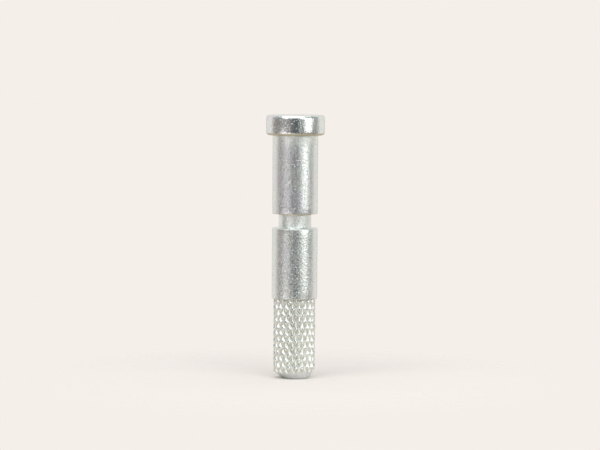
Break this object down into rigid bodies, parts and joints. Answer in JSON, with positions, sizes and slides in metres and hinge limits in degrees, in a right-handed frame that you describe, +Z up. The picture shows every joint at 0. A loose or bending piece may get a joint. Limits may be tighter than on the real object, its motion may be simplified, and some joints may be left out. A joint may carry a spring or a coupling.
{
  "type": "steel stop pin",
  "caption": "Straight round locking pin with a flat stop head, plain shank, narrow ring groove and a diamond-knurled end with a chamfered tip.",
  "frame": {"origin": "centre of the flat face at the knurled end, on which the pin stands", "axes": "+Z up the pin's axis, from the knurled end to the head; X and Y are alike, as the pin is round about Z"},
  "size_m": [0.009, 0.009, 0.0404],
  "materials": {
    "plated_steel": "bright zinc-plated steel, lightly mottled"
  },
  "bodies": {
    "root": {"stop_pin": "plated_steel"}
  },
  "joints": []
}
